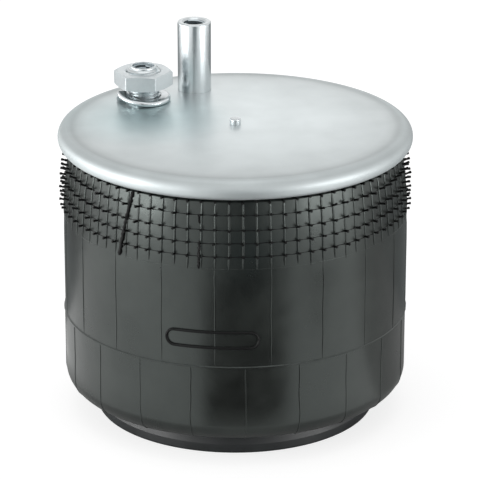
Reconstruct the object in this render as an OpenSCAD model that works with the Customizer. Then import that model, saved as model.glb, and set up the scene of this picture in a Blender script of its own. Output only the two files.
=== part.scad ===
// Rolling-lobe air spring for a truck or trailer axle, collapsed on its bump stop.
// The origin is the centre of the piston's foot, +Z is up, and sizes are millimetres.

/* [Overall] */
// Height of the bead plate's upper face above the piston's foot
collapsed_h = 192; // [178:1:240]
// Outer radius of the bead plate
plate_r = 115; // [98:1:140]
// Radius of the piston wall that the bellows rolls on
piston_r = 87; // [74:1:105]
// Height of the piston's deck above its foot
deck_h = 120; // [100:1:144]

/* [Bead plate] */
// Thickness of the pressed steel sheet
sheet_t = 3; // [2:0.1:3.6]
// Outer radius of the rolled rim's section
curl_r = 6.5; // [5.6:0.1:8]
// Angle that the rim is rolled through
curl_angle = 205; // [190:1:215]

/* [Bellows] */
// Thickness of the rubber wall
wall_t = 6; // [4:0.1:7.2]
// Outer radius of the rolling fold's section
fold_r = 12.35; // [10:0.05:16]
// Height of the fold's centre above the piston's foot
fold_z = 28; // [24:1:34]
// Height of the mould's parting line
parting_z = 68; // [60:1:80]
// Height and half width of the ridge on the parting line
ridge_h = 0.8; // [0.2:0.1:1]
// Length of the wall that curves in to meet the plate
shoulder_len = 57; // [40:1:64]

/* [Top fittings] */
// Distance from the plate's edge to the axis of both studs
stud_inset = 36.25; // [34:0.25:42]
// Direction of the mounting stud from the plate's centre, in degrees
stud_angle = 110.3; // [100:0.1:120]
// Direction of the air inlet from the plate's centre, in degrees
inlet_angle = 140.4; // [135:0.1:160]
// Radius of the mounting stud
stud_r = 11.1; // [9:0.1:13]
// Height of the mounting stud above the plate
stud_h = 47.3; // [35:0.1:60]
// Wall radius of the stud's M14 thread
stud_bore_r = 6.1; // [5:0.1:7]
// Depth of the stud's thread
stud_bore_depth = 34; // [20:1:40]
// Thread radius of the M22 air inlet
inlet_r = 11; // [9:0.1:13]
// Height of the air inlet above the plate
inlet_h = 23.9; // [22:0.1:30]
// Wall radius of the inlet's M12 air port
port_r = 5.25; // [4.5:0.05:6]
// Depth of the air port's thread
port_depth = 15; // [10:1:18]
// Radius of the air passage below the port
passage_r = 4; // [3:0.1:4.4]
// Thickness of the weld flange under the plate
flange_t = 4; // [2:0.1:5]
// Width of the weld flange outside its stud
flange_w = 6; // [4:0.1:7]
// Width across the nut's flats
nut_af = 34; // [32:0.5:38]
// Thickness of the nut
nut_t = 10; // [8:0.5:11]
// Height of the nut's underside above the plate
nut_lift = 10.6; // [9:0.1:11]
// Width of the lock washer's section
washer_w = 6.5; // [4:0.1:7]
// Thickness of the lock washer's section
washer_t = 4; // [3:0.1:4.5]
// Height that the lock washer's raised end is sprung up by
washer_rise = 2.8; // [1:0.1:3]
// Radius of the locating pin
pin_r = 3.5; // [2.5:0.1:5]
// Height of the locating pin above the plate
pin_h = 3.8; // [2:0.1:8]

/* [Piston] */
// Thickness of the moulded piston wall
piston_t = 5; // [4:0.1:6]
// Radius of the rounding between wall and deck
shoulder_r = 14; // [10:0.5:18]
// Distance that the foot stands out from the wall
foot_flare = 4.8; // [1:0.1:6]
// Radius of the bead seat above the deck
seat_r = 58; // [50:1:62]
// Height of the bead seat above the deck
seat_h = 11; // [9:0.1:13]
// Width of the lower bead
bead_w = 9; // [8:0.1:11]
// Ribs inside the piston
inner_ribs = 20; // [16:1:24]
// Thickness of the base moulding
base_h = 22; // [18:0.5:24]
// Radial ribs under the base
base_ribs = 20; // [16:1:24]
// Thickness of the base's ribs
rib_t = 3; // [2:0.1:4]
// Wall radius of the M16 mounting thread
mount_bore_r = 7; // [5:0.1:8]
// Length of the mounting insert
mount_len = 30; // [26:1:31]

/* [Closure and bump stop] */
// Thickness of the closure plate
closure_t = 3; // [2:0.1:4]
// Radius of the bump stop
bump_r = 38; // [32:0.5:40]
// Radius of the retainer's head, which the bump stop snaps over
retainer_r = 22; // [18:0.5:24]
// Radius of the closure bolt
bolt_r = 6; // [5:0.5:7]
// Air holes through the closure plate and the piston's top
air_holes = 4; // [2:1:8]

/* [Clearances] */
// Running gap between the bellows and the piston
run_gap = 0.3; // [0.2:0.05:0.5]
// Gap between pieces that are assembled and stay put
seat_gap = 0.1; // [0.05:0.05:0.2]
// Radial gap between a thread and its nut or insert
thread_gap = 0.05; // [0.02:0.01:0.1]

/* [Hidden] */
$fn = 96;

zinc = [0.74, 0.77, 0.78];
rubber = [0.16, 0.17, 0.17];
moulding = [0.11, 0.12, 0.12];

// Plate and rolled rim
plate_z = collapsed_h;
under_z = plate_z - sheet_t;
rim_c = plate_r - curl_r;
rim_z = plate_z - curl_r;
lip_angle = 90 - curl_angle;
lip_mid = curl_r - sheet_t / 2;
lip_r = rim_c + lip_mid * cos(lip_angle);
lip_z = rim_z + lip_mid * sin(lip_angle);

// Upper bead, neck and shoulder of the bellows
bellows_r = piston_r + run_gap + 2 * fold_r;
neck_r = lip_r - sheet_t / 2 - run_gap;
bead_r = curl_r - sheet_t - run_gap;
bead_in = neck_r - wall_t + bead_r;
bead_z = lip_z + sheet_t / 2 + run_gap;
upper_wire_r = (bead_in + rim_c) / 2;
mouth_r = rim_c - 1;
mouth_z = plate_z - 2 * curl_r - 2.5;
shoulder_z = mouth_z - shoulder_len;
split_z = parting_z - 2;
fold_c = bellows_r - fold_r;

// Studs
stud_circle = plate_r - stud_inset;
stud_pos = stud_circle * [cos(stud_angle), sin(stud_angle)];
inlet_pos = stud_circle * [cos(inlet_angle), sin(inlet_angle)];
hole_gap = 0.15;
collar_w = 0.5;

// Piston
shoulder_c = piston_r - shoulder_r;
arc_z = deck_h - shoulder_r;
foot_r = piston_r + foot_flare;
foot_round = 1.5;
foot_h = 6;
neck_z = deck_h + seat_h;
base_r = piston_r - 1.2;
base_ring = 5;
rib_lift = 1.5;
hub_r = 16;
base_hub_r = 24;
base_hub_h = mount_len + 4;
rib_foot = 4;
rib_head = 12;
rib_step = 2;
insert_r = mount_bore_r + 5;
insert_flange_r = insert_r + 5;
insert_flange_t = 2.5;

// Lower bead and closure
lower_bead_h = seat_h - 0.4;
lower_wire_r = seat_r + run_gap + bead_w / 2;
wire_share = 0.65;
lower_wire_size = bead_w * 0.26;
lip_gap = 0.7;
closure_r = seat_r + bead_w + 4;
closure_top = neck_z + closure_t;
air_hole_r = 4;
air_hole_circle = seat_r - piston_t - air_hole_r - 3;
rib_pitch = 360 / inner_ribs;

// Bump stop and its retainer
stem_r = retainer_r - 8;
stem_h = 6;
head_h = 5;
washer_plate_t = 2;
bolt_head_h = 7.5;
head_top_z = closure_top + stem_h + head_h;
bump_h = under_z - run_gap - closure_top;
bolt_len = 34;
bolt_insert_len = 30;

// Points on an arc, from angle a0 to a1
function arc(x, y, r, a0, a1, n = 8) =
  [for (i = [0:n]) let (a = a0 + (a1 - a0) * i / n) [x + r * cos(a), y + r * sin(a)]];

// Outer radius of the bellows at height z, cylindrical up to the shoulder
function wall_r(z) =
  bellows_r + (mouth_r - bellows_r) * pow(max(0, z - shoulder_z) / shoulder_len, 2);

module place_stud() {
  translate([stud_pos.x, stud_pos.y, 0]) children();
}

module place_inlet() {
  translate([inlet_pos.x, inlet_pos.y, 0]) children();
}

// Ring section between two radii, kept on one side of the z axis of the section
module half_ring(r_out, r_in, side) {
  difference() {
    circle(r_out);
    circle(r_in);
    translate([-r_out - 1, side > 0 ? -2 * r_out : 0]) square([2 * r_out + 2, 2 * r_out]);
  }
}

// Hole in the plate for the collar of a stud or pin
module plate_hole(r) {
  translate([0, 0, under_z - 1]) cylinder(r = r + collar_w + hole_gap, h = sheet_t + 2);
}

// Half section of a stud: weld flange under the plate, collar through it and shank with a chamfered end
module stud_section(r, top, edge) {
  collar_r = r + collar_w;
  polygon([[0, under_z - flange_t], [r + flange_w, under_z - flange_t], [r + flange_w, under_z],
    [collar_r, under_z], [collar_r, plate_z], [r, plate_z], [r, top - edge], [r - edge, top], [0, top]]);
}

// Pressed plate whose edge is rolled down and in round the upper bead
module bead_plate() {
  far = 3 * curl_r;
  color(zinc)
  difference() {
    rotate_extrude() {
      translate([0, under_z]) square([rim_c, sheet_t]);
      translate([rim_c, rim_z]) difference() {
        circle(curl_r);
        circle(curl_r - sheet_t);
        polygon([[0, 0], [0, far], [-far, far], [-far, -far],
          [far * cos(lip_angle), far * sin(lip_angle)]]);
      }
      translate([lip_r, lip_z]) circle(sheet_t / 2);
    }
    place_stud() plate_hole(stud_r);
    place_inlet() plate_hole(inlet_r);
    plate_hole(pin_r);
  }
}

// Internally threaded stud that locates and bolts the plate to the chassis
module mounting_stud() {
  top = plate_z + stud_h;
  edge = 0.6;
  mouth = 1.2;
  color(zinc)
  place_stud() difference() {
    rotate_extrude() stud_section(stud_r, top, edge);
    translate([0, 0, top - stud_bore_depth]) cylinder(r = stud_bore_r, h = stud_bore_depth + 1);
    translate([0, 0, top - mouth]) cylinder(r1 = stud_bore_r, r2 = stud_bore_r + mouth, h = mouth);
  }
}

// Threaded inlet with the air port in its end and a passage into the chamber
module air_inlet() {
  top = plate_z + inlet_h;
  edge = 1.9;
  mouth = 1.65;
  color(zinc)
  place_inlet() difference() {
    rotate_extrude() stud_section(inlet_r, top, edge);
    translate([0, 0, under_z - flange_t - 1]) cylinder(r = passage_r, h = inlet_h + 10);
    translate([0, 0, top - port_depth]) cylinder(r = port_r, h = port_depth + 1);
    translate([0, 0, top - mouth]) cylinder(r1 = port_r, r2 = port_r + mouth, h = mouth);
  }
}

// Thin hexagon nut, chamfered on both faces, partly run down its thread
module inlet_nut() {
  corner_r = nut_af / sqrt(3);
  flat_r = nut_af / 2;
  chamfer_h = (corner_r - flat_r) * 0.6;
  turn = -5;
  color(zinc)
  place_inlet() translate([0, 0, plate_z + nut_lift]) difference() {
    intersection() {
      rotate([0, 0, turn]) cylinder(r = corner_r, h = nut_t, $fn = 6);
      rotate_extrude() polygon([[0, 0], [flat_r, 0], [corner_r + 0.2, chamfer_h],
        [corner_r + 0.2, nut_t - chamfer_h], [flat_r, nut_t], [0, nut_t]]);
    }
    translate([0, 0, -1]) cylinder(r = inlet_r + thread_gap, h = nut_t + 2);
    translate([0, 0, -0.01]) cylinder(r1 = inlet_r + 1, r2 = inlet_r, h = 1);
    translate([0, 0, nut_t - 0.99]) cylinder(r1 = inlet_r, r2 = inlet_r + 1, h = 1);
  }
}

// Split spring washer, whose raised end stands over its lower end
module lock_washer() {
  steps = 60;
  start = 186;
  sweep = 350;
  r_in = inlet_r + 0.4;
  r_out = r_in + washer_w;
  section = [[r_in, 0], [r_out, 0], [r_out, washer_t], [r_in, washer_t]];
  points = [for (i = [0:steps])
    let (a = start + sweep * i / steps, lift = washer_rise * (1 - i / steps))
      for (p = section) [p.x * cos(a), p.x * sin(a), p.y + lift]];
  sides = [for (i = [0:steps - 1], k = [0:3]) let (a = 4 * i + k, b = 4 * i + (k + 1) % 4)
    [a, b, b + 4, a + 4]];
  ends = [[3, 2, 1, 0], [4 * steps, 4 * steps + 1, 4 * steps + 2, 4 * steps + 3]];
  color(zinc)
  place_inlet() translate([0, 0, plate_z]) polyhedron(points, concat(sides, ends));
}

// Short pin welded into the middle of the plate
module locating_pin() {
  edge = 0.5;
  top = plate_z + pin_h;
  color(zinc)
  rotate_extrude() polygon([[0, under_z], [pin_r + collar_w, under_z], [pin_r + collar_w, plate_z],
    [pin_r, plate_z], [pin_r, top - edge], [pin_r - edge, top], [0, top]]);
}

module upper_wire_section(gap = 0) {
  translate([upper_wire_r, rim_z]) circle(bead_r * wire_share - gap);
}

module upper_bead_wire() {
  color("gray") rotate_extrude() upper_wire_section(seat_gap);
}

// The bellows is one moulding, drawn in lengths because they move differently.
// This one hangs from the plate: bead, shoulder and wall down to the parting line.
module bellows_wall() {
  steps = 16;
  outer = concat(
    [[bellows_r, split_z], [bellows_r, parting_z - ridge_h], [bellows_r + ridge_h, parting_z],
      [bellows_r, parting_z + ridge_h]],
    [for (i = [0:steps]) let (z = shoulder_z + shoulder_len * i / steps) [wall_r(z), z]],
    [[neck_r, lip_z - 1], [neck_r, rim_z]]);
  inner = concat(
    [[neck_r - wall_t, rim_z], [neck_r - wall_t, lip_z - 1]],
    [for (i = [steps:-1:0]) let (z = shoulder_z + shoulder_len * i / steps) [wall_r(z) - wall_t, z]],
    [[bellows_r - wall_t, split_z]]);
  color(rubber)
  rotate_extrude() difference() {
    union() {
      polygon(concat(outer, inner));
      translate([bead_in, rim_z]) circle(bead_r);
      translate([rim_c, rim_z]) circle(bead_r);
      translate([bead_in, bead_z]) square([rim_c - bead_in, rim_z + bead_r - bead_z]);
    }
    upper_wire_section();
  }
}

// Wall below the parting line, which grows longer as the plate rises
module bellows_rolling_wall() {
  color(rubber)
  rotate_extrude() translate([bellows_r - wall_t, fold_z]) square([wall_t, split_z - fold_z]);
}

// The rolling fold, which travels half as far as the plate
module bellows_fold() {
  color(rubber)
  rotate_extrude() translate([fold_c, fold_z]) half_ring(fold_r, fold_r - wall_t, -1);
}

// Wall that lies on the piston below its shoulder, and is rolled off as the plate rises
module bellows_inner_leg() {
  color(rubber)
  rotate_extrude() translate([piston_r + run_gap, fold_z]) square([wall_t, arc_z - fold_z]);
}

module lower_wire_section(gap = 0) {
  translate([lower_wire_r, deck_h + run_gap + lower_bead_h / 2]) circle(lower_wire_size - gap);
}

module lower_bead_wire() {
  color("gray") rotate_extrude() lower_wire_section(seat_gap);
}

// The length that turns in over the piston's shoulder and ends in the lower bead
module bellows_lower_bead() {
  inside = shoulder_r + run_gap;
  top_z = deck_h + run_gap;
  color(rubber)
  rotate_extrude() difference() {
    union() {
      translate([shoulder_c, arc_z]) intersection() {
        half_ring(inside + wall_t, inside, 1);
        square(inside + wall_t + 1);
      }
      translate([seat_r + run_gap, top_z]) square([shoulder_c - seat_r - run_gap, wall_t]);
      translate([seat_r + run_gap, top_z]) square([bead_w, lower_bead_h]);
    }
    lower_wire_section();
  }
}

module air_hole_pattern(z, h) {
  for (k = [0:air_holes - 1])
    rotate([0, 0, (floor(k * inner_ribs / air_holes) + 0.5) * rib_pitch])
      translate([air_hole_circle, 0, z]) cylinder(r = air_hole_r, h = h);
}

// Hollow of the piston, less the hub and ribs that cross it
module piston_cavity() {
  wall = piston_r - piston_t;
  hub_z = base_hub_h + run_gap;
  difference() {
    rotate_extrude() polygon(concat(
      [[0, base_h], [wall, base_h]],
      arc(shoulder_c, arc_z, shoulder_r - piston_t, 0, 90, 6),
      [[seat_r - piston_t, deck_h - piston_t], [seat_r - piston_t, neck_z - piston_t],
        [0, neck_z - piston_t]]));
    translate([0, 0, hub_z]) cylinder(r = hub_r, h = deck_h);
    for (k = [0:inner_ribs - 1])
      rotate([90, 0, rib_pitch * k]) linear_extrude(rib_t, center = true)
        polygon([[hub_r - 1, hub_z + rib_step], [base_hub_r + 2, hub_z + rib_step],
          [base_hub_r + 2, base_h + rib_foot], [piston_r, base_h + rib_foot],
          [piston_r, deck_h - piston_t - rib_head], [seat_r - piston_t, deck_h - piston_t - rib_head],
          [2 * hub_r, neck_z - piston_t], [2 * hub_r, neck_z], [hub_r - 1, neck_z]]);
  }
}

// Moulded piston: foot, rolling wall, deck and the seat for the lower bead
module piston_shell() {
  color(moulding)
  difference() {
    rotate_extrude() polygon(concat(
      [[0, 0]],
      arc(foot_r - foot_round, foot_round, foot_round, -90, 0, 4),
      [[foot_r - 0.3, foot_h]],
      [for (i = [1:6]) let (t = i / 6)
        [foot_r - 0.3 - (foot_flare - 0.3) * (1 - pow(1 - t, 2)), foot_h + (fold_z - 2 - foot_h) * t]],
      arc(shoulder_c, arc_z, shoulder_r, 0, 90),
      [[seat_r, deck_h], [seat_r, neck_z], [0, neck_z]]));
    piston_cavity();
    translate([0, 0, -1]) cylinder(r = base_r + seat_gap, h = base_h + 1);
    translate([0, 0, neck_z - bolt_insert_len]) cylinder(r = bolt_r + 4 + seat_gap, h = bolt_insert_len + 1);
    air_hole_pattern(neck_z - piston_t - 1, piston_t + 2);
  }
}

// Ribbed base, welded into the piston's foot
module piston_base() {
  mid_ring = (base_hub_r + base_r - base_ring) / 2;
  web_t = 4;
  color(moulding)
  difference() {
    union() {
      translate([0, 0, base_h - web_t]) cylinder(r = base_r, h = web_t);
      difference() {
        cylinder(r = base_r, h = base_h);
        translate([0, 0, -1]) cylinder(r = base_r - base_ring, h = base_h + 2);
      }
      translate([0, 0, rib_lift]) difference() {
        cylinder(r = mid_ring + rib_t / 2, h = base_h - web_t);
        translate([0, 0, -1]) cylinder(r = mid_ring - rib_t / 2, h = base_h);
      }
      for (k = [0:base_ribs - 1])
        rotate([0, 0, 360 * k / base_ribs])
          translate([base_hub_r - 2, -rib_t / 2, rib_lift])
            cube([base_r - base_hub_r - base_ring / 2, rib_t, base_h - web_t]);
      cylinder(r = base_hub_r, h = base_hub_h);
    }
    translate([0, 0, -1]) cylinder(r = insert_r + seat_gap, h = mount_len + 1);
    translate([0, 0, -1]) cylinder(r = insert_flange_r + seat_gap, h = insert_flange_t + 1);
  }
}

// Steel insert with the thread that the axle bracket bolts to
module mounting_insert() {
  mouth = 1;
  color("silver")
  difference() {
    union() {
      cylinder(r = insert_flange_r, h = insert_flange_t);
      cylinder(r = insert_r, h = mount_len);
    }
    translate([0, 0, -1]) cylinder(r = mount_bore_r, h = mount_len + 2);
    translate([0, 0, -0.01]) cylinder(r1 = mount_bore_r + mouth, r2 = mount_bore_r, h = mouth);
  }
}

// Pressed plate that holds the lower bead down on its seat
module closure_plate() {
  lip_h = seat_h - run_gap - wall_t - lip_gap;
  lip_t = 2.5;
  color("silver")
  difference() {
    union() {
      translate([0, 0, neck_z]) cylinder(r = closure_r, h = closure_t);
      translate([0, 0, neck_z - lip_h]) difference() {
        cylinder(r = closure_r, h = lip_h + closure_t / 2);
        translate([0, 0, -1]) cylinder(r = closure_r - lip_t, h = lip_h + closure_t);
      }
    }
    translate([0, 0, neck_z - 1]) cylinder(r = bolt_r + 0.5, h = closure_t + 2);
    air_hole_pattern(neck_z - 1, closure_t + 2);
  }
}

// Spool on the closure plate that the bump stop snaps over
module bump_stop_retainer() {
  edge = 1;
  head_z = closure_top + stem_h;
  color("silver")
  difference() {
    rotate_extrude() polygon([[0, closure_top], [stem_r, closure_top], [stem_r, head_z],
      [retainer_r - edge, head_z], [retainer_r, head_z + edge], [retainer_r, head_z + head_h - edge],
      [retainer_r - edge, head_z + head_h], [0, head_z + head_h]]);
    translate([0, 0, closure_top - 1]) cylinder(r = bolt_r + 0.5, h = stem_h + head_h + 2);
  }
}

// Flat washer under the bolt's head
module closure_washer() {
  color("silver")
  translate([0, 0, head_top_z]) difference() {
    cylinder(r = 2 * bolt_r, h = washer_plate_t);
    translate([0, 0, -1]) cylinder(r = bolt_r + 0.5, h = washer_plate_t + 2);
  }
}

// Bolt down through retainer and closure plate, with a chamfered hexagon head
module closure_bolt() {
  head_z = head_top_z + washer_plate_t;
  across = 1.5 * bolt_r;
  corner_r = across * 2 / sqrt(3);
  edge = (corner_r - across) * 0.6;
  color("silver") {
    translate([0, 0, head_z]) intersection() {
      cylinder(r = corner_r, h = bolt_head_h, $fn = 6);
      rotate_extrude() polygon([[0, 0], [corner_r + 0.2, 0], [corner_r + 0.2, bolt_head_h - edge],
        [across, bolt_head_h], [0, bolt_head_h]]);
    }
    translate([0, 0, head_z - bolt_len]) cylinder(r = bolt_r, h = bolt_len + 1);
  }
}

// Threaded bush moulded into the top of the piston's hub
module bolt_insert() {
  color("silver")
  translate([0, 0, neck_z - bolt_insert_len]) difference() {
    cylinder(r = bolt_r + 4, h = bolt_insert_len);
    translate([0, 0, -1]) cylinder(r = bolt_r + thread_gap, h = bolt_insert_len + 2);
  }
}

// Outer radius of the bump stop at the share t of its height: a waist, then a round crown
function bump_outline(t) =
  let (crown = 0.72, waist = 5.5 * exp(-pow((t - 0.42) / 0.1, 2)))
  t < crown ? bump_r - 3 * t - waist
    : 12 + (bump_r - 3 * crown - 12) * sqrt(max(0, 1 - pow((t - crown) / (1 - crown), 2)));

// Rubber bump stop, hollow where it snaps over the retainer and clears the bolt head
module bump_stop() {
  steps = 24;
  head_z = stem_h - run_gap;
  head_top = stem_h + head_h + run_gap;
  bolt_room = head_top + washer_plate_t + bolt_head_h + 1;
  color(rubber)
  translate([0, 0, closure_top]) rotate_extrude() polygon(concat(
    [[stem_r + run_gap, run_gap], [bump_r - 2, run_gap], [bump_r, 2]],
    [for (i = [1:steps]) [bump_outline(i / steps), bump_h * i / steps]],
    [[0, bump_h], [0, bolt_room], [2.2 * bolt_r, bolt_room],
      [2.2 * bolt_r, head_top], [retainer_r + run_gap, head_top], [retainer_r + run_gap, head_z],
      [stem_r + run_gap, head_z]]));
}

bead_plate();
mounting_stud();
air_inlet();
inlet_nut();
lock_washer();
locating_pin();
upper_bead_wire();
bellows_wall();
bellows_rolling_wall();
bellows_fold();
bellows_inner_leg();
bellows_lower_bead();
lower_bead_wire();
piston_shell();
piston_base();
mounting_insert();
closure_plate();
bolt_insert();
bump_stop_retainer();
closure_washer();
closure_bolt();
bump_stop();
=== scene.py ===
import math
import random

import bmesh
import bpy
from bpy.props import FloatProperty, FloatVectorProperty, IntProperty, PointerProperty
from mathutils import Matrix, Vector, noise


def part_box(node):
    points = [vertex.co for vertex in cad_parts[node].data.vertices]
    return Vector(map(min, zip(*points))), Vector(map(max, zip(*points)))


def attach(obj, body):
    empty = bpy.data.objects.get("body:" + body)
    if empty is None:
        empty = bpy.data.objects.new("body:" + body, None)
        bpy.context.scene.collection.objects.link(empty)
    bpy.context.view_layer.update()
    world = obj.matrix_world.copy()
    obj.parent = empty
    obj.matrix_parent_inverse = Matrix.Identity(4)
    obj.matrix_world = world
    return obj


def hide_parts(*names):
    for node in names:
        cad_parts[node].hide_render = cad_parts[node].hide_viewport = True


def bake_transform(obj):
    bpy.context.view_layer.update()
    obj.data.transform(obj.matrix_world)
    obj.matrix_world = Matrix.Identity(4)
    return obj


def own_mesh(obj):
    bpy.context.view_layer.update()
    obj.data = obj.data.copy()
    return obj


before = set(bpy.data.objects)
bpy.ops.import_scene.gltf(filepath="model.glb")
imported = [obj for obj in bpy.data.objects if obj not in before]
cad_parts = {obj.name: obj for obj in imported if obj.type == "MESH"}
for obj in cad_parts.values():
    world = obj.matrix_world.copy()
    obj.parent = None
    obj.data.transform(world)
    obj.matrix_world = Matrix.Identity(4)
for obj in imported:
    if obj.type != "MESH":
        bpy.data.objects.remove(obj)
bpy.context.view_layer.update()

bl_info = {
    "name": "Air spring",
    "version": (1, 0, 0),
    "blender": (4, 5, 0),
    "location": "3D View > Sidebar > Air spring",
    "description": "Rolling-lobe air spring, modelled round its CAD solids",
    "category": "Object",
}

MM = 0.001
PLATE_LOW, PLATE_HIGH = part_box("bead_plate")
STUD_LOW, STUD_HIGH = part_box("mounting_stud")
INLET_LOW, INLET_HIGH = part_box("air_inlet")
PIN_LOW, PIN_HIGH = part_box("locating_pin")
FOLD_LOW, FOLD_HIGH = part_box("bellows_fold")
FOLD_Z = FOLD_HIGH.z
FOLD_R = FOLD_Z - FOLD_LOW.z
BELLOWS_R, SPLIT_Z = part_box("bellows_rolling_wall")[1].xz
PARTING_Z = SPLIT_Z + 2 * MM


def colour(code):
    """Linear red, green and blue of an sRGB hex code."""
    parts = [int(code[i:i + 2], 16) / 255 for i in (1, 3, 5)]
    return [p / 12.92 if p <= 0.04045 else ((p + 0.055) / 1.055) ** 2.4 for p in parts]


def length(name, description, default):
    return FloatProperty(name=name, description=description, default=default, min=0.0, precision=5,
                         unit="LENGTH")


def angle(name, description, degrees):
    return FloatProperty(name=name, description=description, default=math.radians(degrees), subtype="ANGLE")


def paint(name, description, code):
    return FloatVectorProperty(name=name, description=description, default=colour(code), size=3,
                               min=0.0, max=1.0, subtype="COLOR")


def power(name, description, default):
    return FloatProperty(name=name, description=description, default=default, unit="POWER")


class AIRSPRING_PG_plate(bpy.types.PropertyGroup):
    """Sizes of the pressed plate and its pin."""
    sheet: length("Sheet", "Thickness of the pressed sheet", 3 * MM)
    curl: length("Curl", "Outer radius of the rolled rim's section", 6.5 * MM)
    curl_angle: angle("Curl angle", "Angle that the rim is rolled through", 205)
    crease: length("Crease", "Depth of the pressing line inside the rim", 0.15 * MM)
    hole_gap: length("Hole gap", "Clearance between a stud or the pin and its hole", 0.08 * MM)


class AIRSPRING_PG_fittings(bpy.types.PropertyGroup):
    """Sizes of the studs, the nut and the washer."""
    stud_r: length("Stud", "Radius of the mounting stud", 11.1 * MM)
    stud_thread: length("Stud thread", "Major radius of the thread in the mounting stud", 7.0 * MM)
    stud_depth: length("Stud thread depth", "Depth of the thread in the mounting stud", 34 * MM)
    inlet_r: length("Inlet", "Major radius of the thread on the air inlet", 11 * MM)
    port_thread: length("Port thread", "Major radius of the thread in the air port", 6.0 * MM)
    port_depth: length("Port depth", "Depth of the air port's thread", 15 * MM)
    port_mouth: length("Port mouth", "Width of the recess round the air port's thread", 1.3 * MM)
    passage_r: length("Passage", "Radius of the air passage below the port", 4 * MM)
    inlet_pitch: length("Inlet pitch", "Pitch of the thread on the air inlet", 2 * MM)
    lead: length("Lead", "Length of the turned-down end of the air inlet", 3.3 * MM)
    lead_end: length("Lead end", "Length of that end that is straight", 1.3 * MM)
    lead_depth: length("Lead depth", "Depth that it is turned down by", 1.4 * MM)
    insert_thread: length("Insert thread", "Major radius of the thread in the mounting insert", 7.0 * MM)
    pitch: length("Pitch", "Pitch of the inner threads", 1.5 * MM)
    depth: length("Thread depth", "Height of the threads from root to crest", 0.9 * MM)
    mouth: length("Mouth", "Width of the countersink in the end of the mounting stud", 1.1 * MM)
    flange: length("Flange", "Width of the weld flange outside its stud", 6 * MM)
    pin_collar: length("Pin collar", "Width that the pin's foot stands out in the plate", 0.5 * MM)
    nut_flats: length("Across flats", "Width of the nut across its flats", 34 * MM)
    nut_turn: angle("Nut turn", "Direction of one of the nut's corners", -5)
    washer_section: length("Washer section", "Width of the lock washer's section", 6.5 * MM)
    washer_t: length("Washer thickness", "Thickness of the lock washer's section", 3.7 * MM)
    washer_rise: length("Washer rise", "Height that the washer's raised end is sprung up by", 3.7 * MM)
    washer_spring: angle("Washer spring", "Angle that the raised end comes down over", 110)
    washer_slant: angle("Washer cut", "Slant of the cut through the lock washer", 24)
    washer_start: angle("Washer end", "Direction of the lock washer's raised end", 194)
    washer_sweep: angle("Washer sweep", "Angle that the lock washer goes through", 354)


class AIRSPRING_PG_bellows(bpy.types.PropertyGroup):
    """Sizes of the rubber moulding."""
    wall: length("Wall", "Thickness of the rubber wall", 6 * MM)
    shoulder_z: length("Shoulder", "Height at which the wall starts to curve in", 119.5 * MM)
    mouth_r: length("Mouth radius", "Radius of the wall where it reaches the plate", 107.5 * MM)
    mouth_z: length("Mouth height", "Height at which the wall reaches the plate", 176.5 * MM)
    neck_r: length("Neck", "Radius of the neck inside the rolled rim", 104.59 * MM)
    bead_r: length("Bead", "Radius of the upper bead's section", 3.2 * MM)
    fin: length("Parting fin", "Height of the fin on the mould's parting line", 1.1 * MM)
    fin_t: length("Fin thickness", "Thickness of that fin", 0.7 * MM)


class AIRSPRING_PG_marks(bpy.types.PropertyGroup):
    """Sizes of the marks that the mould leaves on the bellows."""
    ribs: IntProperty(name="Ribs", description="Vent lines round the shoulder", default=80, min=20, max=160)
    first_rib: angle("First rib", "Direction of one vent line from the front", -6.5)
    rib_low: length("Rib foot", "Height at which the vent lines end", 134 * MM)
    rib_high: length("Rib head", "Height at which the vent lines start", 177.2 * MM)
    rib_w: length("Rib width", "Half width of a vent line", 0.8 * MM)
    rib_h: length("Rib height", "Height of a vent line", 0.6 * MM)
    whisker: length("Whisker", "Length of a vent whisker", 4.8 * MM)
    whisker_r: length("Whisker radius", "Radius of a vent whisker", 0.78 * MM)
    sectors: IntProperty(name="Sectors", description="Sectors of the mould", default=20, min=4, max=40)
    line_w: length("Line width", "Half width of the lines between the mould's sectors", 0.5 * MM)
    line_h: length("Line height", "Height of those lines", 0.35 * MM)
    frame_r: length("Frame width", "Half width of the empty frame's rim", 0.95 * MM)


class AIRSPRING_PG_colours(bpy.types.PropertyGroup):
    """Colours of the finishes."""
    pressed_zinc: paint("Pressed zinc", "Zinc plating on the pressed plate", "#D6DDDE")
    # Painted shade: darker, bluer zinc for the plate round the studs
    stained_zinc: paint("Painted shade zinc", "Zinc plating on the plate round the studs", "#C4D7D9")
    turned_zinc: paint("Turned zinc", "Zinc plating on the turned steel", "#DAE0E2")
    # Painted shade: the zinc inside the threaded bores is painted darker than the outside
    bore_zinc: paint("Zinc in the bores", "Thin zinc plating inside the threaded bores", "#AAB3B7")
    rubber: paint("Rubber", "Rubber of the bellows", "#161716")
    bloom: paint("Bloom", "Grey bloom on the rubber", "#222422")
    # The same black stands as painted shade in the flash rows and on the number frame's rim
    whisker_rubber: paint("Whiskers", "Rubber of the vent whiskers", "#080909")
    moulded_polyamide: paint("Moulding", "Glass-filled polyamide of the piston", "#232627")
    buffer_rubber: paint("Buffer", "Rubber of the bump stop", "#141515")
    wire: paint("Wire", "Drawn wire of the bead bundles", "#9A9284")
    floor: paint("Floor", "Floor under the spring", "#F2F2F2")
    black_card: paint("Black card", "Card in front that the rubber reflects", "#050505")
    far_card: paint("Far card", "Card on the floor beyond the black one", "#94A6AA")
    blue_card: paint("Dark card", "Card behind the camera that the metal reflects", "#1E272D")
    grey_card: paint("Grey card", "Cards behind that darken the metal's edges", "#8E9394")
    pale_card: paint("Pale card", "Card on the floor to the right of the spring", "#C4C4C4")
    front_card: paint("Front card", "Card on the floor to the right, in front", "#DADADA")
    nut_card: paint("Nut card", "Card that the nut's left face reflects", "#898989")
    foot_card: paint("Foot card", "Card for the shade on the floor round the foot", "#DDDDDD")


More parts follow.
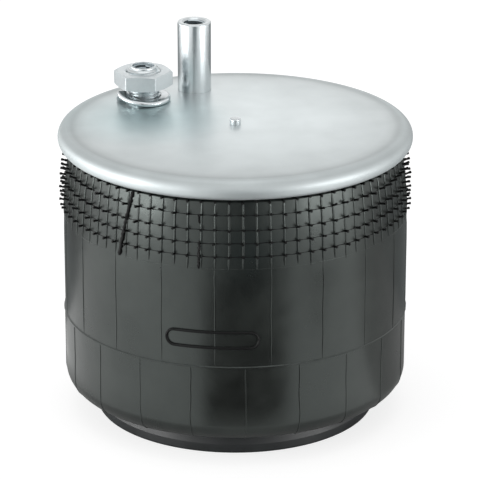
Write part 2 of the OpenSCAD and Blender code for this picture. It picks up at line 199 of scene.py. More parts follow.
class AIRSPRING_PG_stage(bpy.types.PropertyGroup):
    """Camera and lights."""
    eye: FloatVectorProperty(name="Camera", description="Place of the camera", subtype="TRANSLATION",
                             unit="LENGTH", default=(0.0, -1.9269, 0.8344))
    target: FloatVectorProperty(name="Target", description="Point that the camera looks at",
                                subtype="TRANSLATION", unit="LENGTH", default=(0.0, 0.0, 0.11176))
    lens: FloatProperty(name="Lens", description="Focal length in millimetres", default=235.35, unit="CAMERA")
    shift: FloatProperty(name="Shift", description="Sideways shift of the frame", default=0.0098)
    ambient: FloatProperty(name="Ambient", description="Strength of the light from all round", default=0.62)
    glow: FloatProperty(name="Glow", description="Brightness of the floor where it is shaded", default=0.76)
    side_light: power("Side light", "Power of each side lamp", 10)
    top_light: power("Top light", "Power of the top lamp", 4.0)
    back_light: power("Back light", "Power of the low lamp behind", 0.16)


class AIRSPRING_PG_settings(bpy.types.PropertyGroup):
    """All the sizes and colours of the spring."""
    plate: PointerProperty(type=AIRSPRING_PG_plate)
    fittings: PointerProperty(type=AIRSPRING_PG_fittings)
    bellows: PointerProperty(type=AIRSPRING_PG_bellows)
    marks: PointerProperty(type=AIRSPRING_PG_marks)
    colours: PointerProperty(type=AIRSPRING_PG_colours)
    stage: PointerProperty(type=AIRSPRING_PG_stage)


def add_node(tree, kind, *inputs, **named):
    """New shader node. An input is a value, a socket that it is linked to, or a node whose first output it is
    linked to. Inputs stand in the sockets' order or under names with a capital; other names are settings."""
    node = tree.nodes.new("ShaderNode" + kind)
    given = dict(enumerate(inputs))
    for name, value in named.items():
        if name[0].isupper():
            given[name.replace("_", " ")] = value
        else:
            setattr(node, name, value)
    for key, value in given.items():
        if isinstance(value, bpy.types.Node):
            value = value.outputs[0]
        if isinstance(value, bpy.types.NodeSocket):
            tree.links.new(value, node.inputs[key])
        else:
            node.inputs[key].default_value = value
    return node


def start_material(name):
    """Empty material, and its node tree."""
    material = bpy.data.materials.new(name)
    material.use_nodes = True
    material.node_tree.nodes.clear()
    return material, material.node_tree


def end_material(material, **inputs):
    """Gives a material its principled shader and returns it."""
    tree = material.node_tree
    add_node(tree, "OutputMaterial", Surface=add_node(tree, "BsdfPrincipled", **inputs))
    return material


def wave_scale(spacing):
    """Scale at which a Wave node's bands lie that far apart."""
    return math.tau / (20 * spacing)


def zinc_pressing(name, colours):
    """Satin: a soft blurred reflection, faintly clouded by the plating bath, with a fine grain."""
    material, tree = start_material(name)
    place = add_node(tree, "TexCoord").outputs["Object"]
    cloud = add_node(tree, "TexNoise", Vector=place, Scale=1 / (22 * MM), Detail=4.0)
    tone = add_node(tree, "MapRange", cloud, 0.3, 0.7, 0.96, 1.03)
    flat = add_node(tree, "VectorMath", place, (1, 1, 0), operation="MULTIPLY")
    radius = add_node(tree, "VectorMath", flat, operation="LENGTH").outputs["Value"]
    # Painted shade: the zinc is painted darker towards the rim, darkest in a ring about 10 mm wide inside it
    # round the crease, and lighter again at the rim's edge. Radius in mm, and the zinc's level there
    levels = ((40, 0.82), (77.5, 0.74), (97, 0.67), (105.475, 0.56), (106.975, 0.58), (109.525, 0.67),
              (112.75, 0.65), (115, 0.79))
    inner, outer = levels[0][0], levels[-1][0]
    ring = add_node(tree, "ValToRGB", add_node(tree, "MapRange", radius, inner * MM, outer * MM))
    ramp = ring.color_ramp.elements
    for reach, level in levels[1:-1]:
        ramp.new((reach - inner) / (outer - inner))
    for element, (reach, level) in zip(ramp, levels):
        element.color = (level, level, level, 1)
    # The tool burnishes the rim where it rolls it under
    # Painted light: the rolled rim is painted lighter towards its underside, up to 1.6 times
    height = add_node(tree, "SeparateXYZ", place)
    under = add_node(tree, "MapRange", height.outputs["Z"], 179 * MM, 187 * MM, 1.6, 1.0)
    cloud_and_painted_light = add_node(tree, "Math", tone, under, operation="MULTIPLY")
    # The cloud, with the painted shade of that ring laid over it
    cloud_light_and_shade = add_node(tree, "Math", cloud_and_painted_light, ring, operation="MULTIPLY")
    # Painted shade: round the studs, in front of the air inlet, the zinc is painted bluer and darker, where
    # the fittings' shade falls
    holder = (-60 * MM, 12 * MM, 192 * MM)
    shade_reach = add_node(tree, "VectorMath", place, holder, operation="DISTANCE").outputs["Value"]
    shade_share = add_node(tree, "MapRange", shade_reach, 10 * MM, 60 * MM, 1.0, 0.0)
    blue = add_node(tree, "MixRGB", shade_share, (*colours.pressed_zinc, 1), (*colours.stained_zinc, 1))
    tint = add_node(tree, "HueSaturation", Value=cloud_light_and_shade, Color=blue)
    rim = add_node(tree, "MapRange", radius, 102 * MM, 109 * MM, 0.40, 0.60)
    gloss = add_node(tree, "Math", cloud, -0.08, rim, operation="MULTIPLY_ADD")
    grain = add_node(tree, "TexNoise", Vector=place, Scale=1 / (0.7 * MM), Detail=2.0)
    bump = add_node(tree, "Bump", Height=grain, Strength=0.25, Distance=0.03 * MM)
    return end_material(material, Metallic=1.0, Base_Color=tint, Roughness=gloss, Normal=bump)


def zinc_turning(name, colours, dull, bright, ends):
    """Bright: clear bands of light and dark, broken a little by the rings of the lathe tool."""
    material, tree = start_material(name)
    at = add_node(tree, "TexCoord").outputs
    # The tool's feed is about 0.15 mm; it is drawn at 0.45 mm, the finest that shows
    rings = add_node(tree, "TexWave", Vector=at["Object"], Scale=wave_scale(0.45 * MM), Distortion=0.6,
                     Detail=1.0, bands_direction="Z")
    smear = add_node(tree, "TexNoise", Vector=at["Object"], Scale=1 / (6 * MM), Detail=3.0)
    tone = add_node(tree, "MapRange", smear, 0.3, 0.7, 0.95, 1.03)
    # Painted shade: faces that look upwards are painted darker than the turned sides, by the factor ends
    upward = add_node(tree, "SeparateXYZ", at["Normal"]).outputs["Z"]
    painted_top_shade = add_node(tree, "MapRange", upward, 0.5, 0.95, 1.0, ends)
    level = add_node(tree, "Math", tone, painted_top_shade, operation="MULTIPLY")
    tint = add_node(tree, "HueSaturation", Value=level, Color=(*colours.turned_zinc, 1))
    gloss = add_node(tree, "MapRange", smear, 0.3, 0.7, dull, bright)
    bump = add_node(tree, "Bump", Height=rings.outputs["Fac"], Strength=0.2, Distance=0.03 * MM)
    return end_material(material, Metallic=1.0, Base_Color=tint, Roughness=gloss, Normal=bump)


def zinc_bore(name, colours):
    """Little zinc gets inside a bore, so that it looks duller than the outside; it is also painted darker, as
    painted shade in the bore.
    """
    material, _ = start_material(name)
    return end_material(material, Metallic=1.0, Roughness=0.36, Base_Color=(*colours.bore_zinc, 1))


def moulded_rubber(name, colours):
    """Near black with a tight satin gloss, dulled in patches by a grey bloom, and slightly uneven."""
    material, tree = start_material(name)
    place = add_node(tree, "TexCoord").outputs["Object"]
    patches = add_node(tree, "TexNoise", Vector=place, Scale=1 / (35 * MM), Detail=5.0, Roughness=0.6)
    share = add_node(tree, "MapRange", patches, 0.42, 0.72)
    tint = add_node(tree, "Mix", data_type="RGBA", Factor=share, A=(*colours.rubber, 1),
                    B=(*colours.bloom, 1))
    gloss = add_node(tree, "MapRange", patches, 0.3, 0.7, 0.26, 0.36)
    waves = add_node(tree, "TexNoise", Vector=place, Scale=1 / (18 * MM), Detail=1.0)
    soft = add_node(tree, "Bump", Height=waves, Strength=0.35, Distance=0.6 * MM)
    grain = add_node(tree, "TexNoise", Vector=place, Scale=1 / (0.8 * MM), Detail=2.0)
    fine = add_node(tree, "Bump", Height=grain, Strength=0.3, Distance=0.08 * MM, Normal=soft)
    return end_material(material, Specular_IOR_Level=0.75, Specular_Tint=(0.89, 1.0, 0.96, 1),
                        Base_Color=tint.outputs["Result"], Roughness=gloss, Normal=fine)


def plain_moulding(name, colours, roughness, specular, grain_size, grain_height):
    """Dark moulded surface: even colour with a slight grey cloud, and the grain of its mould."""
    material, tree = start_material(name)
    place = add_node(tree, "TexCoord").outputs["Object"]
    cloud = add_node(tree, "TexNoise", Vector=place, Scale=1 / (20 * MM), Detail=3.0)
    tone = add_node(tree, "MapRange", cloud, 0.3, 0.7, 0.85, 1.2)
    tint = add_node(tree, "HueSaturation", Value=tone, Color=(*getattr(colours, name), 1))
    gloss = add_node(tree, "MapRange", cloud, 0.3, 0.7, roughness - 0.04, roughness + 0.05)
    grain = add_node(tree, "TexNoise", Vector=place, Scale=1 / grain_size, Detail=2.0)
    bump = add_node(tree, "Bump", Height=grain, Strength=0.3, Distance=grain_height)
    return end_material(material, Specular_IOR_Level=specular, Base_Color=tint, Roughness=gloss, Normal=bump)


def bronzed_wire(name, colours):
    """Bronze-coated steel wire: dull metal, ribbed by the turns of the bundle."""
    material, tree = start_material(name)
    # Wires of 0.9 mm lie beside each other round the bead
    turns = add_node(tree, "TexWave", Vector=add_node(tree, "TexCoord").outputs["Object"],
                     Scale=wave_scale(0.9 * MM), bands_direction="Z")
    bump = add_node(tree, "Bump", Height=turns.outputs["Fac"], Distance=0.2 * MM)
    return end_material(material, Metallic=1.0, Roughness=0.35, Base_Color=(*colours.wire, 1), Normal=bump)


# The function that makes each finish, and what it is given besides the name and the colours
FINISHES = {
    "zinc_plated_pressing": (zinc_pressing,),
    # For the turnings: roughness at the dull and the bright end of the smear, and the painted shade on faces
    # that look upwards
    "zinc_plated_turning": (zinc_turning, 0.27, 0.2, 0.6),
    # The nut is cold formed: its flats keep the die's satin surface and look evenly pale, and its upward
    # faces are painted less dark
    "zinc_plated_forming": (zinc_turning, 0.48, 0.42, 0.8),
    "zinc_plated_bore_shade": (zinc_bore,),
    "moulded_rubber": (moulded_rubber,),
    # Whiskers are dull and fully black, and the same black draws the splice seams and, as painted shade, the
    # flash rows and the number frame's rim; polyamide has a low even gloss, and buffer rubber is matt
    "whisker_rubber": (plain_moulding, 0.55, 0.22, 0.9 * MM, 0.04 * MM),
    "moulded_polyamide": (plain_moulding, 0.4, 0.5, 1.2 * MM, 0.03 * MM),
    "buffer_rubber": (plain_moulding, 0.6, 0.4, 1 * MM, 0.06 * MM),
    "drawn_wire": (bronzed_wire,),
}


def finish(name):
    """The material of that name, made the first time that it is asked for."""
    made = bpy.data.materials.get(name)
    if made:
        return made
    make, *given = FINISHES[name]
    return make(name, bpy.context.scene.air_spring.colours, *given)


def shade(mesh, sharp):
    mesh.shade_smooth()
    mesh.set_sharp_from_angle(angle=math.radians(sharp))


def make_object(bm, name, look=None, sharp=30):
    """Object from a bmesh, with its doubles merged, its faces turned outwards and the finish called look."""
    bmesh.ops.remove_doubles(bm, verts=bm.verts, dist=1e-6)
    bmesh.ops.recalc_face_normals(bm, faces=bm.faces)
    mesh = bpy.data.meshes.new(name)
    bm.to_mesh(mesh)
    bm.free()
    shade(mesh, sharp)
    if look:
        mesh.materials.append(finish(look))
    piece = bpy.data.objects.new(name, mesh)
    bpy.context.collection.objects.link(piece)
    return piece


def settle(piece, slot, body, *stands_for):
    """Hides the solids that a finished piece stands for and gives the piece its body; slot is not used."""
    if stands_for:
        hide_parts(*stands_for)
    if body:
        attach(piece, body)
    return piece


def dull_and_shade_bore(piece, centre, radius):
    """Gives the faces inside a bore a duller finish, painted darker as shade in the bore."""
    piece.data.materials.append(finish("zinc_plated_bore_shade"))
    for face in piece.data.polygons:
        if math.dist(face.center[:2], centre) < radius:
            face.material_index = 1


def carve(piece, tool, operation, sharp=30):
    """Cuts a piece with a tool, which is used up."""
    cut = piece.modifiers.new("Cut", "BOOLEAN")
    cut.operation = operation
    cut.object = tool
    bpy.context.view_layer.update()
    solved = piece.evaluated_get(bpy.context.evaluated_depsgraph_get())
    whole = piece.data
    piece.data = bpy.data.meshes.new_from_object(solved)
    piece.modifiers.clear()
    bpy.data.meshes.remove(whole)
    bpy.data.meshes.remove(tool.data)
    shade(piece.data, sharp)


def draw_section(bm, corners, centre=(0, 0), turn=0.0, steps=4):
    """Section in an upright plane through centre, from corners of radius, height and rounding."""
    verts = [bm.verts.new((centre[0] + c[0], centre[1], c[1])) for c in corners]
    bm.faces.new(verts)
    rounded = [(v, c[2]) for v, c in zip(verts, corners) if len(c) > 2]
    for vert, rounding in rounded:
        a, b = (edge.other_vert(vert).co - vert.co for edge in vert.link_edges)
        bmesh.ops.bevel(bm, geom=[vert], offset=rounding / math.tan(a.angle(b) / 2), affect="VERTICES",
                        segments=max(steps, int(rounding / MM)), profile=0.5, clamp_overlap=False,
                        material=-1)
    face = max(bm.faces, key=lambda f: f.index)
    bmesh.ops.rotate(bm, verts=face.verts, cent=(*centre, 0), matrix=Matrix.Rotation(turn, 3, "Z"))
    return face


def turn_section(bm, face, steps, centre=(0, 0)):
    """Turns a section all the way round the upright axis through centre."""
    edges = face.edges[:]
    bmesh.ops.delete(bm, geom=[face], context="FACES_ONLY")
    on_axis = [e for e in edges if all(abs(v.co.x - centre[0]) < 1e-7 for v in e.verts)]
    kept = [e for e in edges if e not in on_axis]
    verts = list({v for e in kept for v in e.verts})
    bmesh.ops.delete(bm, geom=on_axis, context="EDGES")
    bmesh.ops.spin(bm, geom=verts + kept, cent=(*centre, 0), axis=(0, 0, 1), angle=math.tau, steps=steps,
                   use_merge=True)


def sweep_section(bm, face, sweep, rise, steps, centre=(0, 0)):
    """Sweeps a section part of the way round, or more than once, while it rises; both ends stay closed."""
    bmesh.ops.spin(bm, geom=[face] + face.edges[:] + face.verts[:], cent=(*centre, 0), axis=(0, 0, 1),
                   dvec=(0, 0, rise / steps), angle=sweep, steps=steps)


def turned(corners, steps, centre=(0, 0)):
    """New bmesh with one turned solid."""
    bm = bmesh.new()
    turn_section(bm, draw_section(bm, corners, centre), steps, centre)
    return bm


def add_thread(bm, root, crest, low, high, pitch, centre=(0, 0), steps=48):
    """Winds a thread from height low to height high. It points inwards where the crest is inside the root."""
    into = 0.1 * MM if crest > root else -0.1 * MM
    turns = (high - low) / pitch - 1
    foot, tip = 0.44 * pitch, 0.07 * pitch
    middle = low + pitch / 2
    thread = bmesh.new()
    face = draw_section(thread, [(root - into, middle - foot), (crest, middle - tip), (crest, middle + tip),
                                 (root - into, middle + foot)], centre, math.radians(100))
    sweep_section(thread, face, turns * math.tau, turns * pitch, int(turns * steps), centre)
    bmesh.ops.recalc_face_normals(thread, faces=thread.faces)
    wound = bpy.data.meshes.new("thread")
    thread.to_mesh(wound)
    thread.free()
    bm.from_mesh(wound)
    bpy.data.meshes.remove(wound)


def middle_of(low, high):
    return ((low.x + high.x) / 2, (low.y + high.y) / 2)


def spaced(start, end, count):
    """Values from start to end, both included, in that many even steps."""
    return [start + (end - start) * i / count for i in range(count + 1)]


def wall_point(b, turn, run, stand=0.0):
    """Point on the bellows' outside. Turn is in degrees from the front towards +X, and run is the height,
    which goes on round the fold below the fold's centre. Stand is the distance off the surface."""
    if run < FOLD_Z:
        bend = (FOLD_Z - run) / FOLD_R
        radius = BELLOWS_R - FOLD_R + (FOLD_R + stand) * math.cos(bend)
        height = FOLD_Z - (FOLD_R + stand) * math.sin(bend)
    else:
        share = max(0.0, run - b.shoulder_z) / (b.mouth_z - b.shoulder_z)
        radius = BELLOWS_R + (b.mouth_r - BELLOWS_R) * share ** 2 + stand
        height = run
    turn = math.radians(turn)
    return Vector((radius * math.sin(turn), -radius * math.cos(turn), height))


def draw_ridge(b, runs, width, proud):
    """Ridge of tapered section down the front of the wall, whose ends are closed and drawn down."""
    frames = []
    for i, run in enumerate(runs):
        foot = wall_point(b, 0, run)
        out = (wall_point(b, 0, run, MM) - foot).normalized()
        along = Vector((1, 0, 0)).cross(out)
        size = 0.4 if i in (0, len(runs) - 1) else 1
        frames.append(Matrix.Translation(foot) @ Matrix(((1, 0, 0), out, along)).transposed().to_4x4()
                      @ Matrix.Diagonal((size, size, 1, 1)))
    bm = bmesh.new()
    corners = ((-width, -0.25 * MM), (width, -0.25 * MM), (0.75 * width, 0.6 * proud), (0.15 * width, proud),
               (-0.15 * width, proud), (-0.75 * width, 0.6 * proud))
    face = bm.faces.new([bm.verts.new((x, y, 0)) for x, y in corners])
    bmesh.ops.transform(bm, matrix=frames[0], verts=face.verts)
    for before, after in zip(frames, frames[1:]):
        moved = bmesh.ops.extrude_face_region(bm, geom=[face])["geom"]
        face = next(g for g in moved if isinstance(g, bmesh.types.BMFace))
        bmesh.ops.transform(bm, matrix=after @ before.inverted(), verts=face.verts)
    return bm


def scatter(shape, places):
    """Copies of a small shape, one at each place, in a new bmesh."""
    bmesh.ops.remove_doubles(shape, verts=shape.verts, dist=1e-6)
    one = bpy.data.meshes.new("one")
    shape.to_mesh(one)
    shape.free()
    bm = bmesh.new()
    for place in places:
        start = len(bm.verts)
        bm.from_mesh(one)
        bm.verts.ensure_lookup_table()
        bmesh.ops.transform(bm, matrix=place, verts=bm.verts[start:])
    bpy.data.meshes.remove(one)
    return bm


def cast_lines(name, runs, look, closed=False):
    """Moulded lines, each a run of points with half widths, as one mesh."""
    curve = bpy.data.curves.new(name, "CURVE")
    curve.dimensions = "3D"
    curve.bevel_depth = 1.0
    curve.bevel_resolution = 1
    curve.use_fill_caps = True
    for run in runs:
        spline = curve.splines.new("POLY")
        spline.points.add(len(run) - 1)
        spline.use_cyclic_u = closed
        for point, (place, width) in zip(spline.points, run):
            point.co = (*place, 1)
            point.radius = width
    drawn = bpy.data.objects.new(name, curve)
    bm = bmesh.new()
    bpy.context.collection.objects.link(drawn)
    bpy.context.view_layer.update()
    mesh = bpy.data.meshes.new_from_object(drawn.evaluated_get(bpy.context.evaluated_depsgraph_get()))
    bm.from_mesh(mesh)
    bpy.data.meshes.remove(mesh)
    bpy.data.curves.remove(curve)
    return make_object(bm, name, look, 60)


def lay_card(name, tint, corners):
    """Matt card of the studio, seen only in reflections."""
    end_material(start_material(name)[0], Base_Color=(*tint, 1), Specular_IOR_Level=0.0)
    bm = bmesh.new()
    bm.faces.new([bm.verts.new(corner) for corner in corners])
    card = make_object(bm, name, name)
    card.visible_camera = card.visible_diffuse = card.visible_shadow = False


def seen_directly(tree):
    """1 for the rays that show the background, straight or in metal."""
    rays = add_node(tree, "LightPath").outputs
    straight = add_node(tree, "Math", rays["Is Camera Ray"], rays["Is Glossy Ray"], operation="MAXIMUM")
    return add_node(tree, "Math", straight, rays["Is Transmission Ray"], operation="MAXIMUM")


class AIRSPRING_OT_plate_pressing(bpy.types.Operator):
    """Pressed plate whose rim is rolled round the bellows' bead, drilled for its studs"""
    bl_idname = "air_spring.plate_pressing"
    bl_label = "Bead plate"

    def execute(self, context):
        p, f = context.scene.air_spring.plate, context.scene.air_spring.fittings
        rim_r = PLATE_HIGH.x - p.curl
        top, under = PLATE_HIGH.z, PLATE_HIGH.z - p.sheet
        pin_hole = PIN_HIGH.x - f.pin_collar + p.hole_gap
        # The crease starts that far inside the rolled rim, and its sides slope
        crease = [(rim_r - inside * MM, top - depth)
                  for inside, depth in ((0.3, 0), (1.4, p.crease), (2.0, p.crease), (3.4, 0))]
        bm = bmesh.new()
        draw_section(bm, [(pin_hole, under), (rim_r, under), (rim_r, top), *crease, (pin_hole, top)])
        end = [v for v in bm.verts if abs(v.co.x - rim_r) < 1e-7]
        rolled = bmesh.ops.spin(bm, geom=end + [e for e in bm.edges if all(v in end for v in e.verts)],
                                cent=(rim_r, 0, top - p.curl), axis=(0, 1, 0), angle=p.curl_angle, steps=24)
        lip = [g for g in rolled["geom_last"] if isinstance(g, bmesh.types.BMVert)]
        bmesh.ops.bevel(bm, geom=lip, offset=p.sheet * 0.49, affect="VERTICES", segments=4, profile=0.5,
                        clamp_overlap=False, material=-1)
        section = bmesh.ops.dissolve_faces(bm, faces=bm.faces[:])["region"][0]
        turn_section(bm, section, 256)
        piece = make_object(bm, "plate_pressing", "zinc_plated_pressing")
        for low, high, stud_r in ((STUD_LOW, STUD_HIGH, f.stud_r), (INLET_LOW, INLET_HIGH, f.inlet_r)):
            hole_r = stud_r + p.hole_gap
            drill = turned([(0, under - p.sheet), (hole_r, under - p.sheet), (hole_r, top + p.sheet),
                            (0, top + p.sheet)], 96, middle_of(low, high))
            carve(piece, make_object(drill, "drill"), "DIFFERENCE")
        settle(piece, "zinc_plate", "plate", "bead_plate")
        return {"FINISHED"}


class AIRSPRING_OT_mounting_sleeve(bpy.types.Operator):
    """Tall sleeve with an internal thread, welded to the plate by its flange"""
    bl_idname = "air_spring.mounting_sleeve"
    bl_label = "Mounting stud"

    def execute(self, context):
        f = context.scene.air_spring.fittings
        centre = middle_of(STUD_LOW, STUD_HIGH)
        foot, top = STUD_LOW.z, STUD_HIGH.z
        seat_z = PLATE_HIGH.z - context.scene.air_spring.plate.sheet
        flange_r = f.stud_r + f.flange
        edge = 0.6 * MM
        bore_z = top - f.stud_depth
        drill_tip = 3 * MM
        bm = turned([(0, foot), (flange_r, foot, 0.5 * MM), (flange_r, seat_z), (f.stud_r, seat_z),
                     (f.stud_r, top - edge, 0.3 * MM), (f.stud_r - edge, top, 0.3 * MM),
                     (f.stud_thread + f.mouth, top, 0.2 * MM), (f.stud_thread, top - f.mouth),
                     (f.stud_thread, bore_z), (0, bore_z - drill_tip)], 96, centre)
        add_thread(bm, f.stud_thread, f.stud_thread - f.depth, bore_z, top - 0.8 * f.mouth, f.pitch, centre)
        piece = make_object(bm, "mounting_sleeve", "zinc_plated_turning")
        dull_and_shade_bore(piece, centre, f.stud_thread + 0.5 * MM)
        settle(piece, "zinc_turned", "plate", "mounting_stud")
        return {"FINISHED"}


class AIRSPRING_OT_inlet_fitting(bpy.types.Operator):
    """Air inlet with a thread outside for its nut and a threaded port in its turned-down end"""
    bl_idname = "air_spring.inlet_fitting"
    bl_label = "Air inlet"

    def execute(self, context):
        f = context.scene.air_spring.fittings
        centre = middle_of(INLET_LOW, INLET_HIGH)
        foot, top, plate_z = INLET_LOW.z, INLET_HIGH.z, PLATE_HIGH.z
        seat_z = plate_z - context.scene.air_spring.plate.sheet
        flange_r = f.inlet_r + f.flange
        root_r = f.inlet_r - f.depth
        mouth_r = f.port_thread + f.port_mouth
        port_z = top - f.port_depth
        recess = 1.5 * MM
        bm = turned([(f.passage_r, foot), (flange_r, foot, 0.5 * MM), (flange_r, seat_z), (f.inlet_r, seat_z),
                     (f.inlet_r, plate_z + 1.5 * MM), (root_r, plate_z + 2.2 * MM), (root_r, top - f.lead),
                     (root_r, top - f.lead_end), (root_r, top, 0.5 * MM), (mouth_r, top, 0.3 * MM),
                     (mouth_r - 0.2 * MM, top - recess + 0.3 * MM), (f.port_thread, top - recess),
                     (f.port_thread, port_z), (f.passage_r, port_z - 1 * MM)], 96, centre)
        add_thread(bm, root_r, f.inlet_r, plate_z + 1.6 * MM, top - 0.6 * MM, f.inlet_pitch, centre, 64)
        # The first turns of the outer thread are turned down, so that a fitting or the nut starts easily
        for vert in bm.verts:
            reach = math.dist(vert.co[:2], centre)
            rise = vert.co.z - (top - f.lead)
            if rise > 0 and reach > root_r - 1 * MM:
                lean = f.lead_depth * min(1.0, rise / (f.lead - f.lead_end)) / reach
                vert.co.x += (centre[0] - vert.co.x) * lean
                vert.co.y += (centre[1] - vert.co.y) * lean
        add_thread(bm, f.port_thread, f.port_thread - f.depth * 0.9, port_z, top - 1.6 * MM, f.pitch, centre)
        piece = make_object(bm, "inlet_fitting", "zinc_plated_turning")
        dull_and_shade_bore(piece, centre, mouth_r)
        settle(piece, "zinc_turned", "plate", "air_inlet")
        return {"FINISHED"}


class AIRSPRING_OT_hexagon_nut(bpy.types.Operator):
    """Thin hexagon nut, chamfered on both faces, part of the way down the inlet's thread"""
    bl_idname = "air_spring.hexagon_nut"
    bl_label = "Inlet nut"

    def execute(self, context):
        f = context.scene.air_spring.fittings
        centre = middle_of(INLET_LOW, INLET_HIGH)
        low, high = (corner.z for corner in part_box("inlet_nut"))
        flat_r = f.nut_flats / 2
        corner_r = flat_r / math.cos(math.radians(30))
        chamfer = (corner_r - flat_r) * 0.32
        blank_r = corner_r + 0.2 * MM
        bore_r = f.inlet_r + 0.05 * MM
        sink_r, sink = bore_r + 0.95 * MM, 1 * MM
        blank = turned([(sink_r, low), (flat_r, low, 0.3 * MM), (blank_r, low + chamfer),
                        (blank_r, high - chamfer), (flat_r, high, 0.3 * MM), (sink_r, high, 0.2 * MM),
                        (bore_r, high - sink), (bore_r, low + sink)], 96, centre)
        bm = bmesh.new()
        place = (Matrix.Translation((*centre, (low + high) / 2))
                 @ Matrix.Rotation(f.nut_turn - math.radians(30), 4, "Z"))
        bmesh.ops.create_cone(bm, cap_ends=True, segments=6, radius1=corner_r, radius2=corner_r,
                              depth=high - low + 1 * MM, matrix=place)
        upright = [e for e in bm.edges if abs(e.verts[0].co.z - e.verts[1].co.z) > MM]
        bmesh.ops.bevel(bm, geom=upright, offset=0.4 * MM, affect="EDGES", segments=3, profile=0.5,
                        material=-1)
        piece = make_object(bm, "hexagon_nut", "zinc_plated_forming")
        carve(piece, make_object(blank, "blank"), "INTERSECT", 22)
        settle(piece, "zinc_turned", "plate", "inlet_nut")
        return {"FINISHED"}


class AIRSPRING_OT_split_washer(bpy.types.Operator):
    """Split spring washer that lies loose round the inlet, with one end sprung up"""
    bl_idname = "air_spring.split_washer"
    bl_label = "Lock washer"

    def execute(self, context):
        f = context.scene.air_spring.fittings
        centre = middle_of(INLET_LOW, INLET_HIGH)
        inner = f.inlet_r + 0.4 * MM
        outer = inner + f.washer_section
        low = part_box("lock_washer")[0].z
        high = low + f.washer_t
        bm = bmesh.new()
        face = draw_section(bm, [(inner, low, 0.6 * MM), (outer, low, 1.4 * MM), (outer, high, 1.9 * MM),
                                 (inner, high, 0.9 * MM)], centre)
        slant = Matrix.Shear("XZ", 3, (0.0, -math.tan(f.washer_slant)))
        bmesh.ops.transform(bm, matrix=slant.to_4x4(), space=Matrix.Translation((0, -centre[1], -low)),
                            verts=face.verts)
        bmesh.ops.rotate(bm, verts=face.verts, cent=(*centre, 0),
                         matrix=Matrix.Rotation(f.washer_start, 3, "Z"))
        sweep_section(bm, face, f.washer_sweep, 0, 140, centre)
        for vert in bm.verts:
            along = (math.atan2(vert.co.y - centre[1], vert.co.x - centre[0]) - f.washer_start) % math.tau
            # The slanted cut reaches a little back past the start, where a full turn is none
            if along > math.radians(358):
                along -= math.tau
            vert.co.z += f.washer_rise * max(0.0, 1 - along / f.washer_spring) ** 1.6
        piece = make_object(bm, "split_washer", "zinc_plated_turning", 40)
        settle(piece, "zinc_turned", "plate", "lock_washer")
        return {"FINISHED"}


class AIRSPRING_OT_plate_pin(bpy.types.Operator):
    """Short pin in the middle of the plate"""
    bl_idname = "air_spring.plate_pin"
    bl_label = "Locating pin"

    def execute(self, context):
        foot, top = PIN_LOW.z, PIN_HIGH.z
        pin_r = PIN_HIGH.x - context.scene.air_spring.fittings.pin_collar
        piece = make_object(turned([(0, foot), (pin_r, foot), (pin_r, top, 0.6 * MM), (0, top)], 64),
                            "plate_pin", "zinc_plated_turning")
        settle(piece, "zinc_turned", "plate", "locating_pin")
        return {"FINISHED"}


